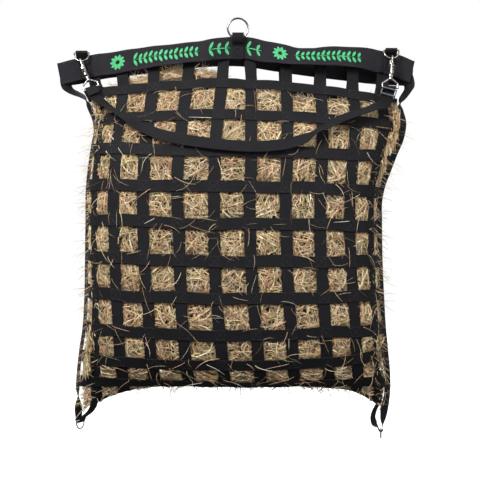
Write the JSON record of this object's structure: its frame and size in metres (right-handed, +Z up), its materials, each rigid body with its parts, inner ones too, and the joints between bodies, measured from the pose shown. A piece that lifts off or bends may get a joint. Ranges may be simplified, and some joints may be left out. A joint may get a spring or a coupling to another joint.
{
  "type": "hay net",
  "caption": "Strap hay net filled with hay: webbing mesh bag, wide top band, steel hanging ring, closing strap on trigger snap hooks, and corner D-rings.",
  "frame": {"origin": "centre of the steel hanging ring, where the net hangs from its hook", "axes": "+Z up, +X to the right seen from the front, front face towards -Y"},
  "size_m": [0.78, 0.2204, 0.9116],
  "materials": {
    "webbing": "ribbed black webbing",
    "band_webbing": "smooth black webbing",
    "ring_steel": "polished welded steel",
    "nickel_plate": "nickel plated",
    "spring_steel": "bright wire",
    "black_metal": "black coated",
    "hay": "dry hay"
  },
  "bodies": {
    "ring": {"hanging_ring": "ring_steel"},
    "closing_strap": {"closing_strap": "webbing", "d_ring_left": "nickel_plate", "d_ring_right": "nickel_plate", "swivel_eye_left": "nickel_plate", "swivel_eye_right": "nickel_plate"},
    "hook_left": {"snap_hook_left": "nickel_plate", "bolt_spring_left": "spring_steel"},
    "hook_right": {"snap_hook_right": "nickel_plate", "bolt_spring_right": "spring_steel"},
    "bolt_left": {"trigger_bolt_left": "nickel_plate"},
    "bolt_right": {"trigger_bolt_right": "nickel_plate"},
    "adjuster": {"slide_adjuster": "black_metal"},
    "corner_ring_left": {"corner_ring_left": "nickel_plate"},
    "corner_ring_right": {"corner_ring_right": "nickel_plate"},
    "net": {"back_band": "band_webbing", "back_strap_01": "webbing", "back_strap_02": "webbing", "back_strap_03": "webbing", "back_strap_04": "webbing", "back_strap_05": "webbing", "back_strap_06": "webbing", "back_strap_07": "webbing", "back_strap_08": "webbing", "back_strap_09": "webbing", "back_strap_10": "webbing", "front_band": "band_webbing", "front_strap_01": "webbing", "front_strap_02": "webbing", "front_strap_03": "webbing", "front_strap_04": "webbing", "front_strap_05": "webbing", "front_strap_06": "webbing", "front_strap_07": "webbing", "front_strap_08": "webbing", "front_strap_09": "webbing", "front_strap_10": "webbing", "hay_fill": "hay", "keeper_left": "webbing", "keeper_right": "webbing", "ring_tab": "webbing", "row_strap_01": "webbing", "row_strap_02": "webbing", "row_strap_03": "webbing", "row_strap_04": "webbing", "row_strap_05": "webbing", "row_strap_06": "webbing", "row_strap_07": "webbing", "row_strap_08": "webbing", "row_strap_09": "webbing", "row_strap_10": "webbing", "side_strap_left": "webbing", "side_strap_right": "webbing"}
  },
  "joints": [
    {"name": "net_swing", "type": "hinge", "parent": "ring", "child": "net", "pos_m": [0, 0, -0.02], "axis": [1, 0, 0], "range_deg": [-35, 35]},
    {"name": "closing_strap_lift", "type": "hinge", "parent": "net", "child": "closing_strap", "pos_m": [-0.338, -0.0025, -0.0535], "axis": [-1, 0, -0.0088], "range_deg": [0, 60]},
    {"name": "swivel_left", "type": "hinge", "parent": "closing_strap", "child": "hook_left", "pos_m": [-0.338, -0.00931, -0.0722], "axis": [-0.3577, 0.2345, 0.9039], "range_deg": [-12, 35]},
    {"name": "swivel_right", "type": "hinge", "parent": "closing_strap", "child": "hook_right", "pos_m": [0.3314, -0.00931, -0.0663], "axis": [0.0855, 0.2161, 0.9726], "range_deg": [-35, 12]},
    {"name": "trigger_left", "type": "slide", "parent": "hook_left", "child": "bolt_left", "axis": [0.3577, -0.2345, -0.9039], "range_m": [0, 0.0078], "stiffness_N_per_m": 300, "deforming": ["bolt_spring_left"]},
    {"name": "trigger_right", "type": "slide", "parent": "hook_right", "child": "bolt_right", "axis": [-0.0855, -0.2161, -0.9726], "range_m": [0, 0.0078], "stiffness_N_per_m": 300, "deforming": ["bolt_spring_right"]},
    {"name": "adjuster_slide", "type": "slide", "parent": "closing_strap", "child": "adjuster", "axis": [-0.3011, -0.4817, -0.823], "range_m": [0, 0.004]},
    {"name": "corner_ring_left_swing", "type": "hinge", "parent": "net", "child": "corner_ring_left", "pos_m": [-0.341, 0, -0.848], "axis": [0.4226, 0.9063, 0], "range_deg": [-70, 70]},
    {"name": "corner_ring_right_swing", "type": "hinge", "parent": "net", "child": "corner_ring_right", "pos_m": [0.309, 0, -0.868], "axis": [0.1392, 0.9903, 0], "range_deg": [-70, 70]}
  ]
}
